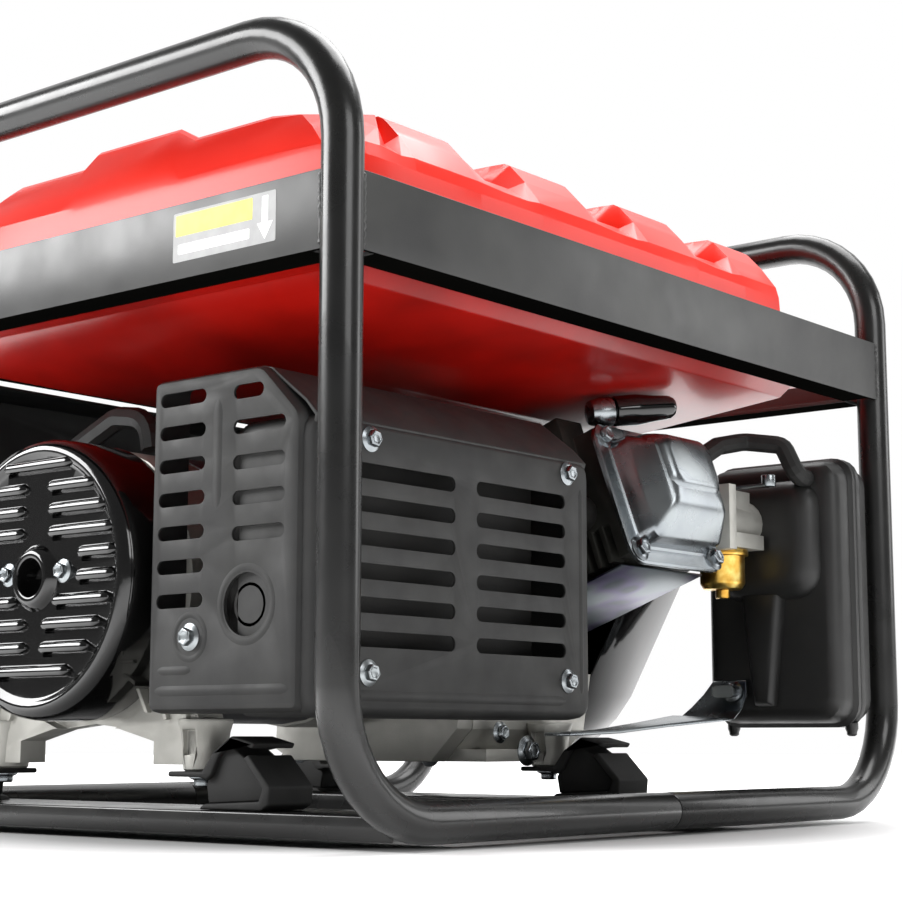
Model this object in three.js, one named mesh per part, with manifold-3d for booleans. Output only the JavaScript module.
// Portable open-frame petrol generator, millimetres, +Z up, origin under the middle of the footprint.
// +X is the alternator end, -X the recoil-starter end, +Y the muffler and carburettor side and
// -Y the control-panel side. The crankshaft runs along X.
import * as THREE from 'three';
import { mergeVertices } from 'three/addons/utils/BufferGeometryUtils.js';
import { ConvexGeometry } from 'three/addons/geometries/ConvexGeometry.js';
import Module from 'manifold-3d';

const wasm = await Module();
wasm.setup();

// ---- Driving dimensions -------------------------------------------------------------------------

const GAP = 0.3; // clearance between pieces that touch

// Tube frame
const TUBE_R = 11.1;
const HALF_LENGTH = 283.4; // tube axis, along X
const HALF_WIDTH = 207.9; // tube axis, along Y
const BASE_Z = 13.5; // axis of the bottom rails
const HANDLE_Z = 422.1; // axis of the two carrying handles
const BEND_R = 67;
const SEAM_X = -4; // butt weld in each bottom rail
const TUBE_SIDES = 12;
const SHEET = 2.5; // thickness of rails and crossmembers

// Tank rails
const RAIL_BOTTOM = 297.7;
const RAIL_TOP = 339;
const RAIL_OFFSET = 7.8; // outer face, beyond the tube axis
const RAIL_FLANGE = 22;

// Crossmembers under the engine and the alternator
const CROSS_TOP = 17;
const CROSS_HALF = 198;
const CROSS_ALTERNATOR = [175, 262];
const CROSS_ENGINE = [-118, -45];

// Engine and alternator line
const CRANK_Y = -48;
const CRANK_Z = 147;
const BASE_PLANE = 41; // underside of the feet
const ENGINE_X = -88; // cylinder centre
const CYLINDER_TILT = THREE.MathUtils.degToRad(20);
const CRANK_THROW = 27;
const BORE_R = 34;
const ALTERNATOR_FOOT = 78; // feet each side of the axis
const FAN_HOUSING_R = 108;
const RECOIL_R = 78;

// Tank
const TANK_SEAM = RAIL_BOTTOM + SHEET + GAP;
const TANK_TOP = 400;
const TANK_BOTTOM = 272;
const TANK_WALL = 2;
const TANK_X = [-212, 262];
const TANK_HALF = 190;
const CAP_X = 30;
const VALVE_AT = [-160, 60]; // fuel valve under the tank

// Muffler guard
const GUARD_X = [15, 253];
const GUARD_Y = [36, 160];
const GUARD_Z = [67, 256];
const GUARD_WALL = 1.6;
const EXHAUST_AT = [103, 170]; // where the exhaust pipe enters the muffler

// Air cleaner
const AIR_X = [-267, -215];
const AIR_Y = [103, 215];
const AIR_Z = [64, 252];
const AIR_WALL = 2.2;
const AIR_SPLIT = -240;

// Carburettor
const CARB_X = -175;
const CARB_Y = 145;
const CARB_Z = 205;

// Control panel
const PANEL_X = [-190, 225];
const PANEL_Z = [132, 282];
const PANEL_FACE = -203;
const PANEL_DEPTH = 43;
const SOCKET_Z = 215;
const SOCKET_R = 26;

// ---- Finishes -----------------------------------------------------------------------------------

function finish(color, roughness, metalness) {
  return new THREE.MeshStandardMaterial({ color, roughness, metalness });
}

const frameBlack = finish(0x2a2b2b, 0.45, 0.3);
const railGrey = finish(0x474747, 0.55, 0.3);
const tankRed = finish(0xd8210f, 0.2, 0.1);
const guardGrey = finish(0x3c3c3c, 0.6, 0.3);
const coverBlack = finish(0x0b0b0b, 0.12, 0.2);
const castAluminium = finish(0x8e8e86, 0.5, 0.9);
const zinc = finish(0xb9c1bf, 0.25, 1.0);
const yellowZinc = finish(0xc9a544, 0.25, 1.0);
const blackPlastic = finish(0x191919, 0.5, 0.0);
const rubber = finish(0x111111, 0.75, 0.0);
const steel = finish(0x77797a, 0.4, 1.0);
const copper = finish(0x9a5a2c, 0.4, 0.9);
const foam = finish(0x3b3b36, 0.95, 0.0);
const switchRed = finish(0xb51a12, 0.4, 0.0);

// ---- Geometry helpers ---------------------------------------------------------------------------

function signedVolume(position, index) {
  const [a, b, c] = [new THREE.Vector3(), new THREE.Vector3(), new THREE.Vector3()];
  let volume = 0;
  for (let i = 0; i < index.length; i += 3) {
    a.fromBufferAttribute(position, index[i]);
    b.fromBufferAttribute(position, index[i + 1]);
    c.fromBufferAttribute(position, index[i + 2]);
    volume += a.dot(b.cross(c));
  }
  return volume;
}

// Welds a geometry into one closed mesh without empty triangles, faces pointing out.
function closed(geometry) {
  const bare = geometry.clone();
  bare.deleteAttribute('normal');
  bare.deleteAttribute('uv');
  const merged = mergeVertices(bare, 1e-3);
  const source = merged.index.array;
  const index = [];
  for (let i = 0; i < source.length; i += 3) {
    const [a, b, c] = [source[i], source[i + 1], source[i + 2]];
    if (a !== b && b !== c && a !== c) index.push(a, b, c);
  }
  if (signedVolume(merged.attributes.position, index) < 0) index.reverse();
  merged.setIndex(index);
  return merged;
}

function toSolid(geometry) {
  const mesh = closed(geometry);
  const vertProperties = new Float32Array(mesh.attributes.position.array);
  const triVerts = new Uint32Array(mesh.index.array);
  return new wasm.Manifold(new wasm.Mesh({ numProp: 3, vertProperties, triVerts }));
}

function toGeometry(solid) {
  const mesh = solid.getMesh();
  const geometry = new THREE.BufferGeometry();
  geometry.setAttribute('position', new THREE.BufferAttribute(new Float32Array(mesh.vertProperties), 3));
  geometry.setIndex(Array.from(mesh.triVerts));
  return geometry;
}

function join(first, ...others) {
  return toGeometry(others.reduce((solid, other) => solid.add(toSolid(other)), toSolid(first)));
}

function cut(first, ...tools) {
  return toGeometry(tools.reduce((solid, tool) => solid.subtract(toSolid(tool)), toSolid(first)));
}

function box([x0, x1], [y0, y1], [z0, z1]) {
  const geometry = new THREE.BoxGeometry(x1 - x0, y1 - y0, z1 - z0);
  return geometry.translate((x0 + x1) / 2, (y0 + y1) / 2, (z0 + z1) / 2);
}

// Turns a geometry built along +Z so that it runs along the named axis.
function along(axis, geometry) {
  if (axis === 'x') geometry.applyMatrix4(new THREE.Matrix4().set(0, 0, 1, 0, 1, 0, 0, 0, 0, 1, 0, 0, 0, 0, 0, 1));
  if (axis === 'y') geometry.applyMatrix4(new THREE.Matrix4().set(0, 1, 0, 0, 0, 0, 1, 0, 1, 0, 0, 0, 0, 0, 0, 1));
  return geometry;
}

// An outline in the two axes that follow `axis` in the cycle x, y, z, pushed from start to end.
function prism(axis, outline, [start, end]) {
  const shape = new THREE.Shape(outline.map(([u, v]) => new THREE.Vector2(u, v)));
  const geometry = new THREE.ExtrudeGeometry(shape, { depth: end - start, bevelEnabled: false });
  return along(axis, geometry.translate(0, 0, start));
}

function circle(radius, sides, [cu, cv] = [0, 0]) {
  const points = [];
  for (let i = 0; i < sides; i++) {
    const angle = (i / sides) * 2 * Math.PI;
    points.push([cu + radius * Math.cos(angle), cv + radius * Math.sin(angle)]);
  }
  return points;
}

function rod(axis, radius, span, centre = [0, 0], sides = 20) {
  return prism(axis, circle(radius, sides, centre), span);
}

// A body of revolution about an axis along X; the profile lists [x, radius].
function turnedX(profile, [cy, cz] = [CRANK_Y, CRANK_Z], sides = 24) {
  const points = profile.map(([x, radius]) => new THREE.Vector2(radius, x));
  const geometry = new THREE.LatheGeometry(points, sides);
  return geometry.rotateZ(-Math.PI / 2).translate(0, cy, cz);
}

// The same about an axis along Z; the profile lists [z, radius].
function turnedZ(profile, [cx, cy], sides = 24) {
  const points = profile.map(([z, radius]) => new THREE.Vector2(radius, z));
  return new THREE.LatheGeometry(points, sides).rotateX(Math.PI / 2).translate(cx, cy, 0);
}

function ringX([x0, x1], inner, outer, centre, sides) {
  return turnedX([[x0, inner], [x0, outer], [x1, outer], [x1, inner], [x0, inner]], centre, sides);
}

function hull(points) {
  return new ConvexGeometry(points.map(([x, y, z]) => new THREE.Vector3(x, y, z)));
}

// The eight or more points of a stack of rectangles, each [x0, x1, y0, y1, z].
function layers(...rectangles) {
  return rectangles.flatMap(([x0, x1, y0, y1, z]) => [[x0, y0, z], [x1, y0, z], [x1, y1, z], [x0, y1, z]]);
}

// A path whose extrusion puts one ring exactly on each of its points.
class RingPath extends THREE.Curve {
  constructor(points) {
    super();
    this.points = points;
    this.steps = points.length - 1;
  }

  getPoint(t) {
    return this.points[Math.round(t * this.steps)].clone();
  }

  getPointAt(t) {
    return this.getPoint(t);
  }

  getTangentAt(t, target = new THREE.Vector3()) {
    const i = Math.round(t * this.steps);
    const before = this.points[Math.max(i - 1, 0)];
    const here = this.points[i];
    const after = this.points[Math.min(i + 1, this.steps)];
    const incoming = here.clone().sub(before).normalize();
    return target.copy(after).sub(here).normalize().add(incoming).normalize();
  }

  getSpacedPoints(steps) {
    return Array.from({ length: steps + 1 }, (_, i) => this.getPoint(i / steps));
  }
}

// Rounds the inner corners of a polyline with arcs of the given radius.
function bentLine(corners, radius, stepsPerBend) {
  const vectors = corners.map(([x, y, z]) => new THREE.Vector3(x, y, z));
  const points = [vectors[0]];
  for (let i = 1; i < vectors.length - 1; i++) {
    const incoming = vectors[i].clone().sub(vectors[i - 1]).normalize();
    const outgoing = vectors[i + 1].clone().sub(vectors[i]).normalize();
    const turn = incoming.angleTo(outgoing);
    const inward = outgoing.clone().addScaledVector(incoming, -incoming.dot(outgoing)).normalize();
    const start = vectors[i].clone().addScaledVector(incoming, -radius * Math.tan(turn / 2));
    const centre = start.clone().addScaledVector(inward, radius);
    for (let step = 0; step <= stepsPerBend; step++) {
      const angle = (step / stepsPerBend) * turn;
      const spoke = inward.clone().multiplyScalar(-Math.cos(angle)).addScaledVector(incoming, Math.sin(angle));
      points.push(centre.clone().addScaledVector(spoke, radius));
    }
  }
  points.push(vectors[vectors.length - 1]);
  return points;
}

function tube(corners, tubeRadius, bendRadius, sides, stepsPerBend = 5) {
  const path = new RingPath(bentLine(corners, bendRadius, stepsPerBend));
  const section = new THREE.Shape(circle(tubeRadius, sides).map(([u, v]) => new THREE.Vector2(u, v)));
  return new THREE.ExtrudeGeometry(section, { steps: path.steps, extrudePath: path, bevelEnabled: false });
}

// A slot cutter with bevelled corners through a wall whose normal is the named axis.
function slot(axis, [cu, cv], [sizeU, sizeV], span) {
  const [a, b] = [sizeU / 2, sizeV / 2];
  const bevel = Math.min(a, b) * 0.6;
  const outline = [[-a + bevel, -b], [a - bevel, -b], [a, -b + bevel], [a, b - bevel],
    [a - bevel, b], [-a + bevel, b], [-a, b - bevel], [-a, -b + bevel]];
  return prism(axis, outline.map(([u, v]) => [cu + u, cv + v]), span);
}

const generator = new THREE.Group();

function add(name, material, geometry, parent = generator) {
  const mesh = new THREE.Mesh(closed(geometry), material);
  mesh.name = name;
  parent.add(mesh);
  return mesh;
}

// ---- Frame --------------------------------------------------------------------------------------

// Each end is one bent tube: two rail stubs, two uprights and the carrying handle across the top.
function frameHoop(side, radius = TUBE_R) {
  const seam = SEAM_X + (side * GAP) / 2;
  const end = side * HALF_LENGTH;
  return tube([
    [seam, HALF_WIDTH, BASE_Z], [end, HALF_WIDTH, BASE_Z], [end, HALF_WIDTH, HANDLE_Z],
    [end, -HALF_WIDTH, HANDLE_Z], [end, -HALF_WIDTH, BASE_Z], [seam, -HALF_WIDTH, BASE_Z],
  ], radius, BEND_R, TUBE_SIDES);
}

add('frame_hoop_alternator_end', frameBlack, frameHoop(1));
add('frame_hoop_engine_end', frameBlack, frameHoop(-1));

// Space the tubes take, used to notch the sheet-steel members welded to them.
function tubeClearance() {
  return [1, -1].map((side) => frameHoop(side, TUBE_R + GAP));
}

// Angle section with its flange turned in under the tank.
function tankRailLong(side) {
  const outer = side * (HALF_WIDTH + RAIL_OFFSET);
  const wall = [outer - side * SHEET, outer].sort((a, b) => a - b);
  const flange = [outer - side * RAIL_FLANGE, outer].sort((a, b) => a - b);
  const flangeEnd = HALF_LENGTH + RAIL_OFFSET - RAIL_FLANGE - 4;
  const rail = join(
    box([-HALF_LENGTH, HALF_LENGTH], wall, [RAIL_BOTTOM, RAIL_TOP]),
    box([-flangeEnd, flangeEnd], flange, [RAIL_BOTTOM, RAIL_BOTTOM + SHEET]),
  );
  return cut(rail, ...tubeClearance());
}

function tankRailEnd(side) {
  const outer = side * (HALF_LENGTH + RAIL_OFFSET);
  const wall = [outer - side * SHEET, outer].sort((a, b) => a - b);
  const flange = [outer - side * RAIL_FLANGE, outer].sort((a, b) => a - b);
  const flangeEnd = HALF_WIDTH + RAIL_OFFSET - RAIL_FLANGE - 0.5;
  const rail = join(
    box(wall, [-HALF_WIDTH, HALF_WIDTH], [RAIL_BOTTOM, RAIL_TOP]),
    box(flange, [-flangeEnd, flangeEnd], [RAIL_BOTTOM, RAIL_BOTTOM + SHEET]),
  );
  return cut(rail, ...tubeClearance());
}

add('tank_rail_rear', railGrey, tankRailLong(1));
add('tank_rail_front', railGrey, tankRailLong(-1));
add('tank_rail_alternator_end', railGrey, tankRailEnd(1));
add('tank_rail_engine_end', railGrey, tankRailEnd(-1));

// Channel open downwards, notched round the bottom rails so that a strip passes under them.
function crossmember([x0, x1]) {
  const [a, b] = [x0 + SHEET, x1 - SHEET];
  const outline = [[0, x0], [CROSS_TOP, x0], [CROSS_TOP, x1], [0, x1], [0, b],
    [CROSS_TOP - SHEET, b], [CROSS_TOP - SHEET, a], [0, a]];
  return cut(prism('y', outline, [-CROSS_HALF, CROSS_HALF]), ...tubeClearance());
}

add('crossmember_alternator', frameBlack, crossmember(CROSS_ALTERNATOR));
add('crossmember_engine', frameBlack, crossmember(CROSS_ENGINE));

// Inclined rubber block between a crossmember and a foot, with the plate that goes under the foot.
function rubberMount(x, y, side) {
  const tabTop = BASE_PLANE - GAP;
  const tabBottom = tabTop - 3;
  const outline = [[-48, tabBottom], [-20, tabBottom], [-26, CROSS_TOP + GAP], [22, CROSS_TOP + GAP], [33, 29],
    [26, 44], [10, 57], [-4, 57], [-18, tabTop], [-48, tabTop]];
  return prism('x', outline.map(([u, z]) => [y + side * u, z]), [x - 19, x + 19]);
}

add('rubber_mount_alternator_rear', rubber, rubberMount(218, CRANK_Y + ALTERNATOR_FOOT + 52, 1));
add('rubber_mount_alternator_front', rubber, rubberMount(218, CRANK_Y - ALTERNATOR_FOOT - 42, -1));
add('rubber_mount_engine_rear', rubber, rubberMount(-81, 100, 1));
add('rubber_mount_engine_front', rubber, rubberMount(-81, -152, -1));

// ---- Fuel tank ----------------------------------------------------------------------------------

function tankShell(levels, flangeZ) {
  const shrink = ([x0, x1, y0, y1, z], toSeam) => [x0 + TANK_WALL, x1 - TANK_WALL, y0 + TANK_WALL,
    y1 - TANK_WALL, z + toSeam];
  const inward = levels[0][4] > levels[levels.length - 1][4] ? TANK_WALL : -TANK_WALL;
  const inner = levels.map((level) => shrink(level, level[4] === levels[0][4] ? inward * 2 : inward));
  const outer = hull(layers(...levels));
  const brim = box(TANK_X, [-TANK_HALF - 8, TANK_HALF + 8], flangeZ);
  return cut(join(outer, brim), hull(layers(...inner)));
}

// The upper shell has steep sides, cut corners at both ends, and a slope up to its flat top.
function tankUpperShell() {
  const seam = TANK_SEAM + 2 + GAP;
  const shoulder = 366;
  const levels = [
    [-205, 257, -130, 130, seam],
    [-196, 246, -TANK_HALF, TANK_HALF, seam],
    [-204, 256, -128, 128, shoulder],
    [-194, 245, -187, 187, shoulder],
    [-176, 238, -112, 112, TANK_TOP],
    [-168, 208, -155, 155, TANK_TOP],
  ];
  const neck = turnedZ([[TANK_TOP - 6, 26], [TANK_TOP + 7, 26], [TANK_TOP + 7, 21], [TANK_TOP - 6, 21],
    [TANK_TOP - 6, 26]], [CAP_X, 0]);
  const shell = tankShell(levels, [seam, seam + 2]);
  return join(cut(shell, rod('z', 22, [TANK_TOP - 10, TANK_TOP + 10], [CAP_X, 0])), neck);
}

function tankLowerShell() {
  const levels = [
    [TANK_X[0] + 9, TANK_X[1] - 9, -TANK_HALF, TANK_HALF, TANK_SEAM + 2],
    [TANK_X[0] + 16, TANK_X[1] - 20, -TANK_HALF + 8, TANK_HALF - 8, 292],
    [TANK_X[0] + 40, TANK_X[1] - 70, -TANK_HALF + 90, TANK_HALF - 120, TANK_BOTTOM],
  ];
  return cut(tankShell(levels, [TANK_SEAM, TANK_SEAM + 2]), rod('z', 4, [TANK_BOTTOM - 5, TANK_BOTTOM + 10], VALVE_AT, 12));
}

add('fuel_tank_upper_shell', tankRed, tankUpperShell());
add('fuel_tank_lower_shell', tankRed, tankLowerShell());

// Screw cap over the filler neck.
add('fuel_cap', blackPlastic, turnedZ([[TANK_TOP + 1, 26 + GAP], [TANK_TOP + 1, 32], [TANK_TOP + 16, 32],
  [TANK_TOP + 20, 28], [TANK_TOP + 20, 0], [TANK_TOP + 9, 0], [TANK_TOP + 9, 26 + GAP],
  [TANK_TOP + 1, 26 + GAP]], [CAP_X, 0]));

// ---- Muffler and its guard ----------------------------------------------------------------------

function mufflerGuardSide() {
  const [x0, x1] = [GUARD_X[0], GUARD_X[1] - 3];
  const [back, front] = [GUARD_Y[0] + 52, GUARD_Y[1]];
  const t = GUARD_WALL;
  const [bottom, top] = GUARD_Z;
  const outer = [[back, bottom], [front, bottom], [front, 224], [front - 6, 240], [front - 30, top], [back, top]];
  const inner = [[back - 5, bottom + t], [front - t, bottom + t], [front - t, 223], [front - 6 - t, 239],
    [front - 31, top - t], [back - 5, top - t]];
  const shell = cut(prism('x', outer, [x0, x1]), prism('x', inner, [x0 + t, x1 + 5]),
    rod('x', 15, [x0 - 5, x0 + 5], EXHAUST_AT));
  const slots = [];
  for (let row = 0; row < 6; row++) {
    const z = 213 - row * 18.5;
    for (const x of [72, 172]) slots.push(slot('y', [z, x], [6.5, 84], [front - 10, front + 5]));
  }
  return cut(shell, ...slots);
}

function mufflerGuardEnd() {
  const [x0, x1] = [GUARD_X[1] - 26, GUARD_X[1]];
  const y1 = GUARD_Y[1] - GUARD_WALL - 1;
  const t = GUARD_WALL;
  const [bottom, top] = [GUARD_Z[0] + GUARD_WALL + 1, GUARD_Z[1] - GUARD_WALL - 1];
  const outline = [[GUARD_Y[0], bottom], [y1, bottom], [y1, 222], [y1 - 28, top - 1], [GUARD_Y[0], top - 1]];
  const inner = [[GUARD_Y[0] + t, bottom + t], [y1 - t, bottom + t], [y1 - t, 221.4], [y1 - 29, top - 1 - t],
    [GUARD_Y[0] + t, top - 1 - t]];
  const tray = cut(prism('x', outline, [x0, x1]), prism('x', inner, [x0 - 5, x1 - t]));
  const through = [x1 - 8, x1 + 5];
  const cutters = [rod('x', 17, through, [113, 126])];
  for (let row = 0; row < 7; row++) cutters.push(slot('x', [61, 130 + row * 18.75], [37, 7], through));
  for (let row = 0; row < 4; row++) cutters.push(slot('x', [121, 164 + row * 19.3], [39, 7], through));
  cutters.push(slot('x', [113, 164 + 4 * 19.3], [23, 7], through));
  return cut(tray, ...cutters);
}

add('muffler_guard_side', guardGrey, mufflerGuardSide());
add('muffler_guard_end', guardGrey, mufflerGuardEnd());

function mufflerBody() {
  const can = hull([...layers([38, 222, 66, 140, 102], [38, 222, 66, 140, 222], [30, 230, 78, 128, 118],
    [30, 230, 78, 128, 206], [44, 216, 76, 132, 92], [44, 216, 76, 132, 232])]);
  const hollow = hull([...layers([40, 220, 68, 138, 104], [40, 220, 68, 138, 220], [32, 228, 80, 126, 120],
    [32, 228, 80, 126, 204], [46, 214, 78, 130, 94], [46, 214, 78, 130, 230])]);
  const tail = rod('x', 12, [215, 250], [113, 126]);
  return cut(join(can, tail), hollow, rod('x', 10, [200, 260], [113, 126]));
}

add('muffler_body', steel, mufflerBody());
add('exhaust_pipe', steel, tube([
  [-41.7, 122, 200], [-22, 122, 200], [0, ...EXHAUST_AT], [29.7, ...EXHAUST_AT]], 12, 14, 12, 3));

// ---- Engine -------------------------------------------------------------------------------------

const CASE_OUTLINE = [[-112, 49], [-96, 41], [30, 41], [52, 62], [60, 110], [44, 150], [24, 186], [-10, 203],
  [-70, 203], [-104, 170]];
const CASE_X = [-138, -14];

// Distances from the crankshaft along the cylinder axis.
const BARREL_START = 74;
const BARREL_END = 156;
const HEAD_END = 205;
const DOME_END = 244;

function cylinderFrame() {
  const group = new THREE.Group();
  group.position.set(ENGINE_X, CRANK_Y, CRANK_Z);
  group.rotation.x = CYLINDER_TILT;
  generator.add(group);
  return group;
}

const cylinderGroup = cylinderFrame();

// A cutter or body written in the cylinder's own frame, moved to the machine's frame.
function inCylinderFrame(geometry) {
  return geometry.rotateX(CYLINDER_TILT).translate(ENGINE_X, CRANK_Y, CRANK_Z);
}

function crankcase() {
  const [x0, x1] = CASE_X;
  const cavity = [[-100, 58], [26, 53], [40, 70], [46, 112], [30, 148], [12, 178], [-16, 191], [-64, 191], [-92, 164]];
  const body = join(prism('x', CASE_OUTLINE, [x0, x1]), box([x0 - 8, x1 - 2], [-122, 62], [BASE_PLANE, 49]));
  return cut(body,
    prism('x', cavity, [x0 + 12, x1 + 5]),
    rod('x', 14.5, [x0 - 5, x0 + 20], [CRANK_Y, CRANK_Z]),
    inCylinderFrame(box([-80, 80], [BARREL_START, 160], [-80, 80])),
    inCylinderFrame(rod('y', BORE_R + 2, [30, 100], [0, 0])),
    rod('y', 7, [-130, -90], [75, -108], 12));
}

add('crankcase', castAluminium, crankcase());
add('crankcase_side_cover', castAluminium, cut(
  join(prism('x', CASE_OUTLINE, [CASE_X[1] + GAP, 2]), rod('x', 44, [1, 8], [CRANK_Y, CRANK_Z], 24)),
  rod('x', 14.5, [-20, 20], [CRANK_Y, CRANK_Z]),
  inCylinderFrame(box([-120, 120], [BARREL_START, 160], [-80, 80]))));

function cylinderBarrel() {
  let barrel = rod('y', 45, [BARREL_START + GAP, BARREL_END], [0, 0], 24);
  for (let fin = 0; fin < 6; fin++) {
    const start = 86 + fin * 12;
    barrel = join(barrel, box([-48, 48], [start, start + 3], [-47, 47]));
  }
  return cut(barrel, rod('y', BORE_R, [60, BARREL_END + 10], [0, 0], 24));
}

add('cylinder_barrel', castAluminium, cylinderBarrel(), cylinderGroup);

function cylinderHead() {
  const cutters = [];
  for (let groove = 0; groove < 4; groove++) {
    const start = BARREL_END + 6 + groove * 9;
    cutters.push(box([-60, -34], [start, start + 5], [-60, 28]), box([34, 60], [start, start + 5], [-60, -22]));
  }
  const block = box([-46, 46], [BARREL_END + GAP, HEAD_END], [-46, 42]);
  return cut(join(block, box([30, 58], [158, 188], [30, 56])), ...cutters);
}

add('cylinder_head', castAluminium, cylinderHead(), cylinderGroup);

// Bright pressed cover with a faceted dome; hollow and open towards the head.
function valveCover() {
  const [seat, rim, crown] = [HEAD_END + GAP, HEAD_END + 4, DOME_END];
  const brim = [[-52, -46], [-44, -54], [44, -54], [52, -46], [52, 34], [44, 42], [-44, 42], [-52, 34]];
  const dome = (inset, top) => hull([
    ...[[-42, -40], [-30, -46], [30, -46], [42, -36], [42, 26], [32, 35], [-32, 35], [-42, 26]]
      .map(([x, z]) => [x - Math.sign(x) * inset, rim - 2 - inset * 2, z - Math.sign(z) * inset]),
    ...[[-30, -30], [8, -36], [32, -14], [32, 12], [8, 28], [-30, 22]]
      .map(([x, z]) => [x - Math.sign(x) * inset, top, z - Math.sign(z) * inset]),
  ]);
  const plate = prism('y', brim.map(([x, z]) => [z, x]), [seat, rim]);
  return cut(join(plate, dome(0, crown)), dome(2, crown - 2));
}

add('valve_cover', zinc, valveCover(), cylinderGroup);

// A turned body from one point towards another; the profile lists [distance, radius].
function turnedBetween(from, to, profile, sides = 16) {
  const direction = new THREE.Vector3(...to).sub(new THREE.Vector3(...from)).normalize();
  const turn = new THREE.Quaternion().setFromUnitVectors(new THREE.Vector3(0, 0, 1), direction);
  const geometry = turnedZ(profile, [0, 0], sides);
  return geometry.applyQuaternion(turn).translate(...from);
}

const PLUG_SEAT = [-50, 122, 268];
const PLUG_TOP = [-97, 150, 275];
add('spark_plug', zinc, turnedBetween(PLUG_SEAT, PLUG_TOP, [[0, 0], [0, 8], [8, 10], [15, 10], [15, 6], [34, 5], [34, 0]]));
add('spark_plug_boot', rubber, turnedBetween(PLUG_SEAT, PLUG_TOP, [[17, 6 + GAP * 2], [17, 10], [34, 10.5], [46, 9],
  [58, 8], [62, 6], [62, 0], [37, 0], [37, 6 + GAP * 2], [17, 6 + GAP * 2]]));

function crankshaft() {
  const web = (x) => rod('x', 41, [x, x + 11], [CRANK_Y, CRANK_Z], 20);
  const pinAt = [CRANK_Y + CRANK_THROW * Math.cos(CYLINDER_TILT), CRANK_Z + CRANK_THROW * Math.sin(CYLINDER_TILT)];
  const shaft = (span) => rod('x', 12.5, span, [CRANK_Y, CRANK_Z], 16);
  return join(shaft([-212, ENGINE_X - 15]), web(ENGINE_X - 26), rod('x', 14, [ENGINE_X - 20, ENGINE_X + 20], pinAt, 16),
    web(ENGINE_X + 15), shaft([ENGINE_X + 15, 10]));
}

add('crankshaft', steel, crankshaft());

// At the top of its stroke in the bore.
add('piston', castAluminium, cut(
  rod('y', BORE_R - GAP * 2, [116, 154], [0, 0], 24),
  rod('y', BORE_R - 5, [110, 147], [0, 0], 24)), cylinderGroup);

add('cylinder_baffle', zinc, hull([...layers([-50, 46, 92, 194, -50]), ...layers([-50, 46, 92, 194, -51.5])]), cylinderGroup);

function fanHousing() {
  const duct = [[104, 30], [100, 96]];
  const shape = (radius, inset, [x0, x1]) => hull([
    ...circle(radius, 32, [CRANK_Y, CRANK_Z]).flatMap(([y, z]) => [[x0, y, z], [x1, y, z]]),
    ...duct.flatMap(([u, v]) => [x0, x1].map((x) => [x, CRANK_Y + u + 36 - inset, CRANK_Z + v - inset])),
  ]);
  return cut(shape(FAN_HOUSING_R, 0, [-214, -152]), shape(FAN_HOUSING_R - 2, 2, [-212, -150]),
    rod('x', 66, [-220, -200], [CRANK_Y, CRANK_Z], 24));
}

add('fan_housing', coverBlack, fanHousing());
add('flywheel', castAluminium, turnedX([[-206, 12.5 + GAP], [-206, 30], [-186, 34], [-186, 70], [-204, 76], [-204, 92],
  [-160, 92], [-160, 30], [-146, 26], [-146, 12.5 + GAP], [-206, 12.5 + GAP]]));

function recoilHousing() {
  const [back, face] = [-214 - GAP, -262];
  const dish = turnedX([[back, RECOIL_R], [-246, RECOIL_R - 2], [face + 4, RECOIL_R - 12], [face, RECOIL_R - 18],
    [face, 0], [face + 2, 0], [face + 2, RECOIL_R - 19], [face + 6, RECOIL_R - 14], [-245, RECOIL_R - 4],
    [back, RECOIL_R - 2], [back, RECOIL_R]]);
  const vents = [];
  for (let i = 0; i < 8; i++) {
    const angle = (i / 8) * 2 * Math.PI + 0.2;
    const centre = [CRANK_Y + 42 * Math.cos(angle), CRANK_Z + 42 * Math.sin(angle)];
    vents.push(rod('x', 9, [face - 5, face + 8], centre, 8));
  }
  const mouth = rod('y', 8, [CRANK_Y - RECOIL_R - 10, CRANK_Y - 60], [CRANK_Z + 46, -236], 12);
  return cut(dish, ...vents, mouth);
}

add('recoil_housing', coverBlack, recoilHousing());
add('recoil_reel', blackPlastic, turnedX([[-248, 0], [-248, 54], [-242, 54], [-242, 46], [-230, 46], [-230, 54],
  [-224, 54], [-224, 0]]));
add('pull_handle', blackPlastic, join(
  rod('y', 5, [CRANK_Y - RECOIL_R - 20, CRANK_Y - RECOIL_R - 5], [CRANK_Z + 46, -236], 12),
  hull(layers([-246, -226, -160, -140, 160], [-246, -226, -160, -140, 226], [-243, -229, -157, -143, 152],
    [-243, -229, -157, -143, 234], [-248, -224, -156, -136, 180], [-248, -224, -156, -136, 206]))));

add('oil_dipstick', blackPlastic, turnedBetween([-108, -112.5, 75], [-108, -150, 75], [[0, 0], [0, 9], [6, 9], [6, 16],
  [18, 16], [20, 13], [20, 0]]));

// ---- Carburettor and air cleaner ----------------------------------------------------------------

// The corners of a disc square to X, for hulls.
function rodPoints(radius, x, centre) {
  return circle(radius, 16, centre).map(([y, z]) => [x, y, z]);
}

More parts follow.
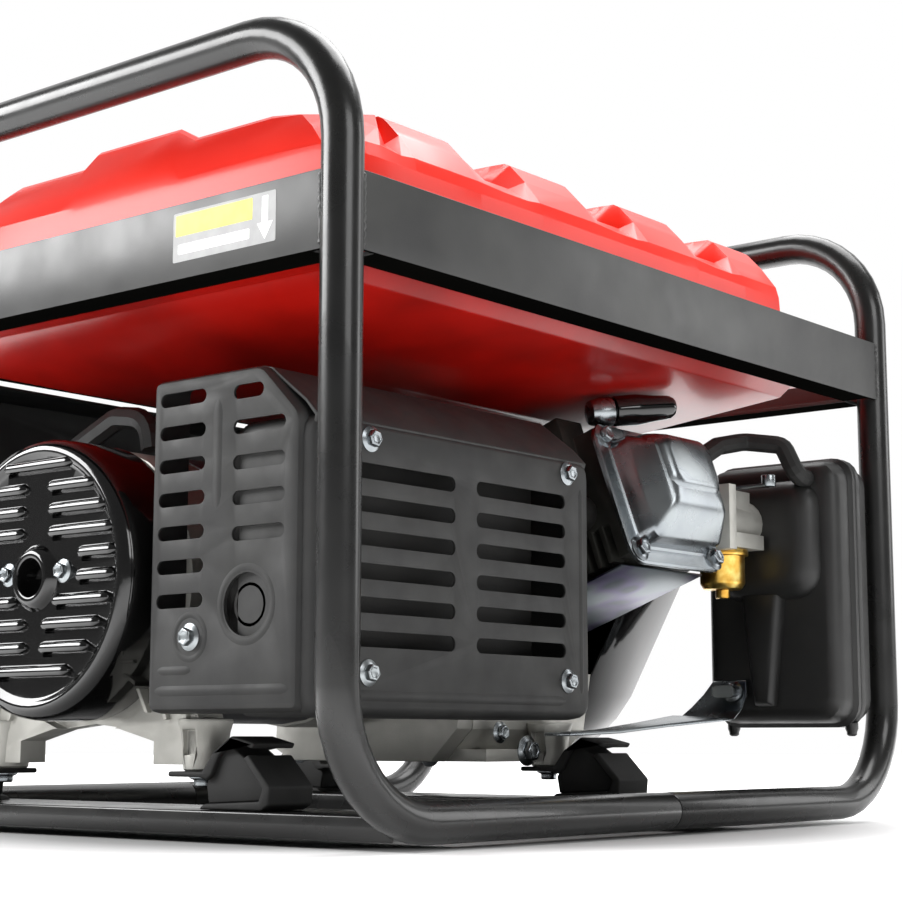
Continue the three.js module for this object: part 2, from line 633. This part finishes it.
add('carburettor_body', castAluminium, join(
  rod('x', 17, [-206, -141], [CARB_Y, CARB_Z], 20),
  box([-152, -143], [CARB_Y - 26, CARB_Y + 26], [CARB_Z - 22, CARB_Z + 22]),
  hull([...rodPoints(13, -134 - GAP * 2, [CARB_Y - 27, CARB_Z]), ...rodPoints(13, -144, [CARB_Y - 8, CARB_Z])]),
  box([-198, -156], [CARB_Y - 20, CARB_Y + 20], [186, 196]),
  box([-190, -160], [CARB_Y - 14, CARB_Y + 14], [200, 226])));
add('float_bowl', yellowZinc, turnedZ([[152, 0], [152, 5], [158, 5], [158, 13], [162, 15.5], [181, 15.5], [181, 18],
  [186 - GAP, 18], [186 - GAP, 0]], [CARB_X, CARB_Y]));
add('choke_lever', steel, join(
  rod('z', 6, [226 + GAP, 231], [-182, CARB_Y], 12),
  box([-186, -178], [CARB_Y, CARB_Y + 34], [228, 230]),
  rod('z', 5, [228, 236], [-182, CARB_Y + 34], 12)));

function airCleanerHalf(x0, x1, openSide) {
  const [y0, y1] = AIR_Y;
  const [z0, z1] = AIR_Z;
  const outline = (inset) => [[y0 + inset, z0 + 12], [y0 + 12, z0 + inset], [y1 - 12, z0 + inset], [y1 - inset, z0 + 12],
    [y1 - inset, z1 - 16], [y1 - 16, z1 - inset], [y0 + 16, z1 - inset], [y0 + inset, z1 - 16]];
  const hollow = openSide < 0 ? [x0 - 5, x1 - AIR_WALL] : [x0 + AIR_WALL, x1 + 5];
  return cut(prism('x', outline(0), [x0, x1]), prism('x', outline(AIR_WALL), hollow));
}

add('air_cleaner_case', blackPlastic, cut(
  airCleanerHalf(AIR_SPLIT, AIR_X[1], -1),
  rod('x', 14, [AIR_X[1] - 10, AIR_X[1] + 5], [CARB_Y, CARB_Z])));
add('air_cleaner_cover', blackPlastic, airCleanerHalf(AIR_X[0], AIR_SPLIT - GAP, 1));
add('filter_element', foam, box([AIR_SPLIT - 22, AIR_SPLIT + 6], [AIR_Y[0] + 14, AIR_Y[1] - 14], [AIR_Z[0] + 30, AIR_Z[1] - 20]));

const BREATHER_ROUTE = [[-141, 150, 246], [-165, 149, 257], [-192, 154, 263], [-201, 180, 259], [-203, 190, 236],
  [-214.6, 190, 236]];
add('breather_hose', rubber, tube(BREATHER_ROUTE, 6.5, 8, 10, 3));

// Flat zinc-plated stay from the engine base to the foot of the air cleaner.
function supportStrap() {
  const [a, b, c, d] = [[-96, 78], [-120, 88], [-196, 128], [-211, 132]];
  const stretch = ([xa, ya], za, [xb, yb], zb) => hull([
    ...layers([xa - 1, xa + 1, ya - 10, ya + 10, za], [xa - 1, xa + 1, ya - 10, ya + 10, za + 2.5]),
    ...layers([xb - 1, xb + 1, yb - 10, yb + 10, zb], [xb - 1, xb + 1, yb - 10, yb + 10, zb + 2.5]),
  ]);
  return join(stretch(a, 60, b, 60), stretch(b, 60, c, 72), stretch(c, 72, d, 76),
    box([-213.5, -210], [118, 152], [74, 96]));
}

add('support_strap', zinc, supportStrap());

// ---- Fuel valve ---------------------------------------------------------------------------------

const [VALVE_X, VALVE_Y] = VALVE_AT;
add('fuel_valve_body', blackPlastic, join(
  rod('z', 8, [TANK_BOTTOM - 14, TANK_BOTTOM - GAP], VALVE_AT, 14),
  rod('z', 3.5, [TANK_BOTTOM - 1, TANK_BOTTOM + 8], VALVE_AT, 10)));
add('fuel_valve_lever', switchRed, join(
  rod('z', 7, [TANK_BOTTOM - 18, TANK_BOTTOM - 14 - GAP], VALVE_AT, 12),
  box([VALVE_X, VALVE_X + 24], [VALVE_Y - 3, VALVE_Y + 3], [TANK_BOTTOM - 18, TANK_BOTTOM - 14 - GAP])));

// ---- Alternator ---------------------------------------------------------------------------------

add('alternator_front_bracket', castAluminium, turnedX([[8.3, 50], [8.3, 84], [59.5, 84], [59.5, 76], [14, 76], [14, 50],
  [8.3, 50]]));
add('stator_core', steel, ringX([59.8, 176], 58, 82));
add('stator_winding', copper, turnedX([[46, 51], [46, 66], [59.5, 66], [59.5, 57.7], [176.3, 57.7], [176.3, 64],
  [190, 64], [190, 51], [46, 51]]));
add('rotor', steel, turnedX([[10.4, 0], [10.4, 12], [62, 12], [62, 49.5], [174, 49.5], [174, 12], [222, 12], [222, 0]]));
add('alternator_fan', blackPlastic, turnedX([[18, 12.3], [18, 26], [24, 70], [38, 70], [38, 62], [30, 30], [38, 26],
  [38, 12.3], [18, 12.3]]));

function alternatorEndBracket() {
  const leg = (side) => [[97, 41], [97, 66], [78, 112], [30, 120], [0, 74], [0, 64], [30, 61], [60, 54], [60, 41]]
    .map(([u, z]) => [CRANK_Y + side * u, z]);
  const [inner, outer] = [176 + GAP, 217];
  const ring = ringX([inner, outer], 68, 81);
  const spider = turnedX([[195, 16], [195, 72], [200, 72], [200, 26], [212, 26], [212, 16], [195, 16]]);
  const legs = [1, -1].map((side) => prism('x', leg(side), [206, 225]));
  return cut(join(ring, spider, ...legs), rod('x', 68, [205, 217], [CRANK_Y, CRANK_Z], 28),
    rod('x', 90, [217, 240], [CRANK_Y, CRANK_Z], 28),
    rod('x', 8, [190, 204], [CRANK_Y + 45, CRANK_Z + 20], 10), rod('x', 8, [190, 204], [CRANK_Y - 45, CRANK_Z + 20], 10));
}

add('alternator_end_bracket', castAluminium, alternatorEndBracket());

function louvredCover() {
  const shell = turnedX([[217.3, 83], [252, 83], [259, 82], [262, 78], [262, 8], [259.8, 8], [259.8, 77],
    [257, 80], [251, 81], [217.3, 81], [217.3, 83]]);
  const rows = [[0, 62, 52], [-30, 47, 50], [30, 47, 50], [-37, 32, 52], [37, 32, 52], [-43, 17, 44], [43, 17, 44],
    [-56, 1, 34], [56, 1, 34], [-43, -16, 44], [43, -16, 44], [-37, -31, 52], [37, -31, 52], [-30, -46, 50],
    [30, -46, 50], [0, -61, 60]];
  const through = [255, 270];
  return cut(shell, ...rows.map(([u, v, length]) => slot('x', [CRANK_Y + u, CRANK_Z + v], [length, 3.4], through)));
}

add('alternator_end_cover', coverBlack, louvredCover());

add('alternator_conduit', rubber, tube([[196, CRANK_Y + 20, CRANK_Z + 82], [196, CRANK_Y + 16, 248],
  [196, -60, 252], [190, -110, 236], [186, -163, 225]], 7, 16, 8, 4));

// ---- Control panel ------------------------------------------------------------------------------

function controlPanel() {
  const back = PANEL_FACE + PANEL_DEPTH;
  return cut(box(PANEL_X, [PANEL_FACE, back], PANEL_Z),
    box([PANEL_X[0] + 2, PANEL_X[1] - 2], [PANEL_FACE + 2, back + 5], [PANEL_Z[0] + 2, PANEL_Z[1] - 2]),
    rod('y', 5, [PANEL_FACE - 5, PANEL_FACE + 5], [235, -40], 12),
    box([-166, -134], [PANEL_FACE - 5, PANEL_FACE + 5], [222, 248]));
}

add('control_panel', frameBlack, controlPanel());

[150, 80].forEach((x, i) => {
  const number = i + 1;
  const face = PANEL_FACE - GAP;
  add(`socket_${number}`, blackPlastic, cut(rod('y', SOCKET_R, [face - 10, face], [SOCKET_Z, x]),
    rod('y', SOCKET_R - 5, [face - 15, face - 4], [SOCKET_Z, x])));
  add(`socket_lid_${number}`, blackPlastic, join(rod('y', SOCKET_R, [face - 13, face - 10 - GAP], [SOCKET_Z, x]),
    box([x - 12, x + 12], [face - 13, face - 10 - GAP], [SOCKET_Z + 20, SOCKET_Z + 30])));
});

add('breaker_button', switchRed, join(rod('y', 4, [PANEL_FACE - 9, PANEL_FACE + 4], [235, -40], 12),
  rod('y', 7, [PANEL_FACE - 11, PANEL_FACE - 4], [235, -40], 12)));
add('engine_switch', switchRed, hull(layers([-164, -136, PANEL_FACE - 4, PANEL_FACE - 1, 224],
  [-164, -136, PANEL_FACE - 10, PANEL_FACE - 1, 246], [-164, -136, PANEL_FACE - 7, PANEL_FACE - 1, 235])));

export default generator;
